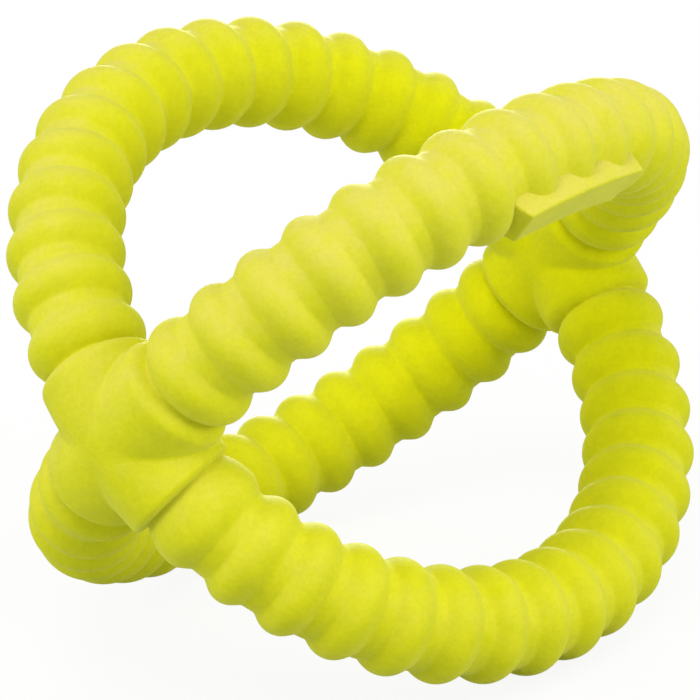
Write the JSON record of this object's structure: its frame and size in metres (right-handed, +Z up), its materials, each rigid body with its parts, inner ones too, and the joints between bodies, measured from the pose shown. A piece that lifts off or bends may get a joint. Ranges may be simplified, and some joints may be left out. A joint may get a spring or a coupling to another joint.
{
  "type": "rubber chew toy",
  "caption": "Open rubber chew ball: crossing ribbed rings joined at smooth collared hubs, with wide windows between the arms and a raised blank pad on an arm.",
  "frame": {"origin": "centre of the ball, where the axes of the rings' planes cross midway between the hubs", "axes": "+X runs from the left hub to the right hub; +Z is up as the toy lies on its lower arms; +Y points away from the side with the pad"},
  "size_m": [0.1416, 0.1064, 0.1058],
  "materials": {
    "rubber": "matte, finely pored, lime yellow"
  },
  "bodies": {
    "root": {"hub_left": "rubber", "hub_right": "rubber", "arm_front_top": "rubber", "arm_back_top": "rubber", "arm_front_bottom": "rubber", "arm_back_bottom": "rubber", "blank_pad": "rubber"}
  },
  "joints": []
}
